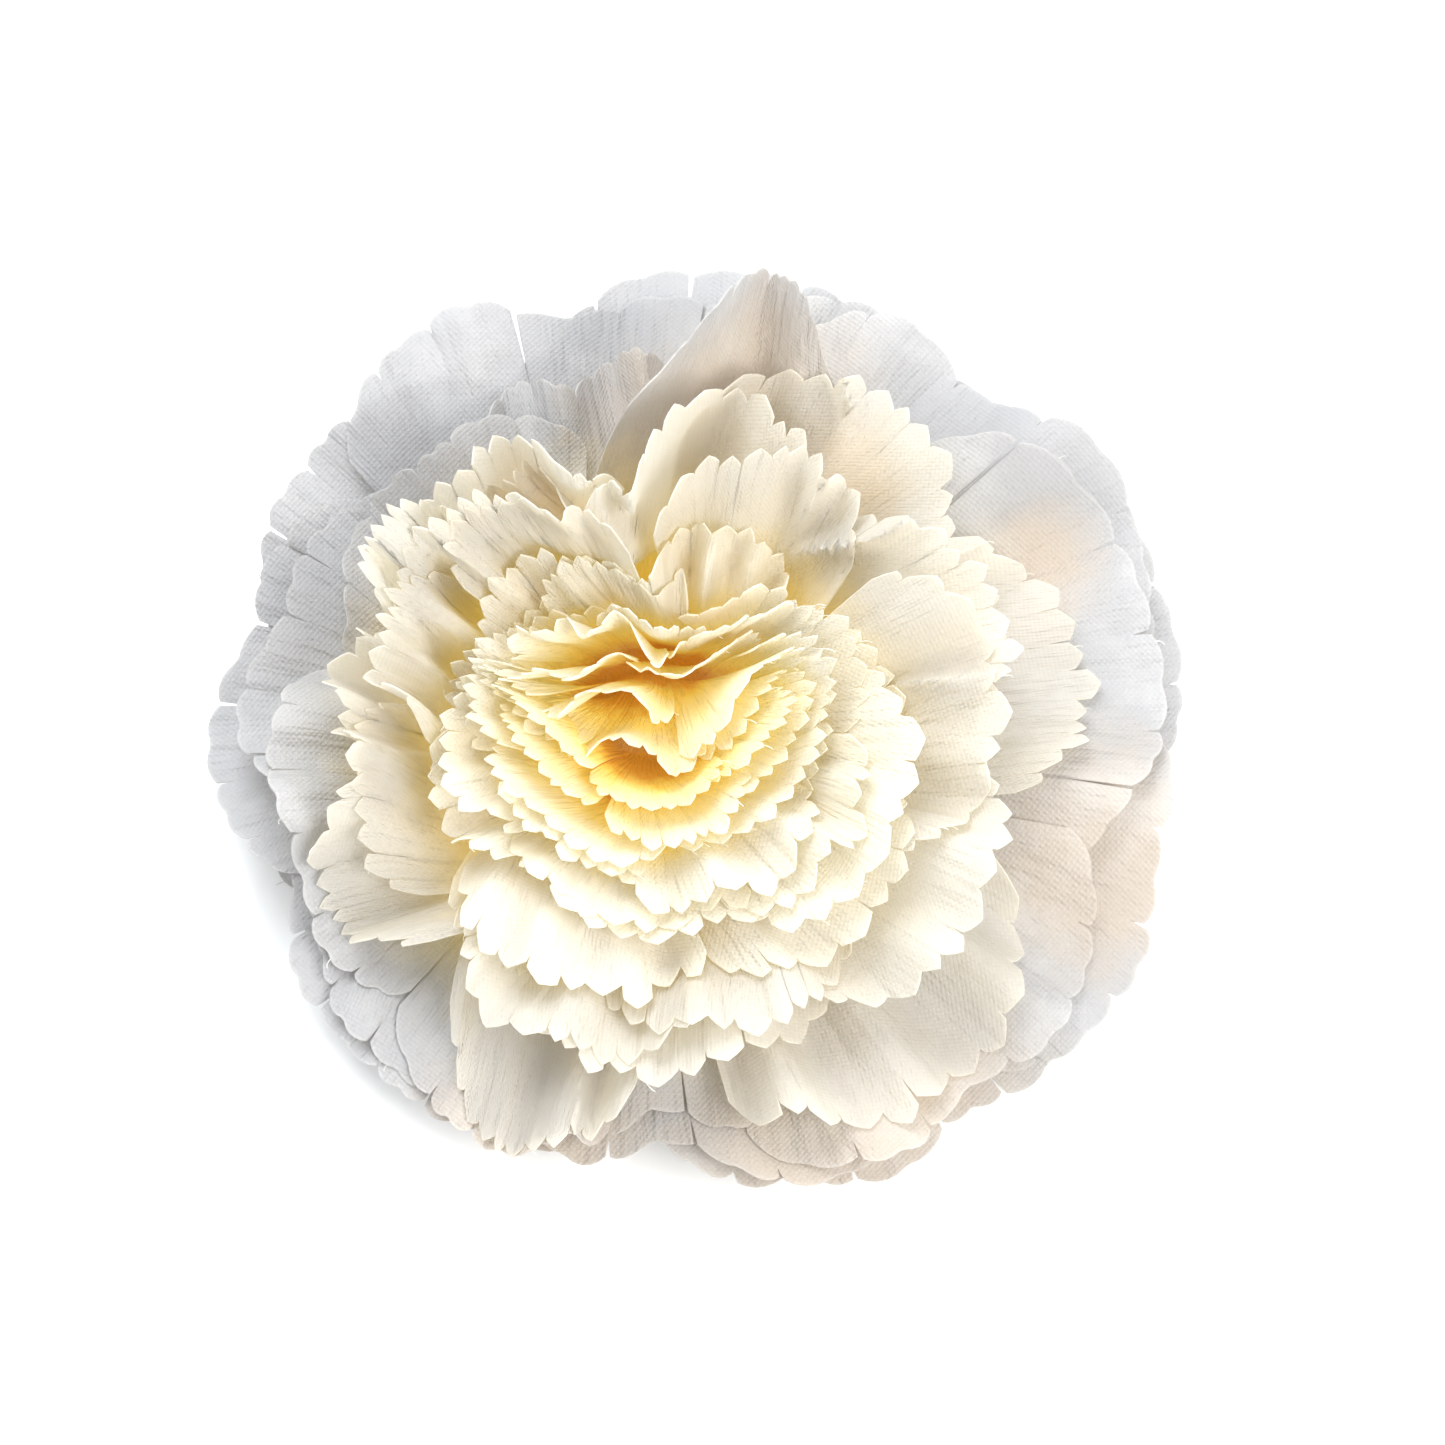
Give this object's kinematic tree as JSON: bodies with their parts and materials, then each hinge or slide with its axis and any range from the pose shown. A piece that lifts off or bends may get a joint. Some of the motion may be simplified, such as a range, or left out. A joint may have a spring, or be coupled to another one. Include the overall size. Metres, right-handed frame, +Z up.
{
  "type": "artificial carnation flower head",
  "caption": "Round ruffled fabric carnation head of nested die-cut petal layers with scalloped rims, on a green sepal calyx and a short peg with a flat foot.",
  "frame": {"origin": "centre of the peg's flat foot, on the surface the head stands on", "axes": "+Z up along the peg through the middle of the flower, -Y towards the side that the ruffled centre leans to"},
  "size_m": [0.0913, 0.0911, 0.0334],
  "materials": {
    "outer_fabric": "woven polyester, white",
    "middle_fabric": "woven polyester, cream white",
    "inner_fabric": "woven polyester, cream shading to yellow",
    "calyx_plastic": "moulded, satin green",
    "peg_plastic": "moulded, natural",
    "cap_plastic": "moulded, yellow"
  },
  "bodies": {
    "root": {"stem_peg": "peg_plastic", "calyx": "calyx_plastic", "outer_petals_1": "outer_fabric", "outer_petals_2": "outer_fabric", "outer_petals_3": "outer_fabric", "outer_petals_4": "outer_fabric", "middle_petals_1": "middle_fabric", "middle_petals_2": "middle_fabric", "middle_petals_3": "middle_fabric", "middle_petals_4": "middle_fabric", "inner_petals_1": "inner_fabric", "inner_petals_2": "inner_fabric", "inner_petals_3": "inner_fabric", "inner_petals_4": "inner_fabric", "inner_petals_5": "inner_fabric", "inner_petals_6": "inner_fabric", "inner_petals_7": "inner_fabric", "spacer_1": "peg_plastic", "spacer_2": "peg_plastic", "retaining_cap": "cap_plastic"}
  },
  "joints": []
}
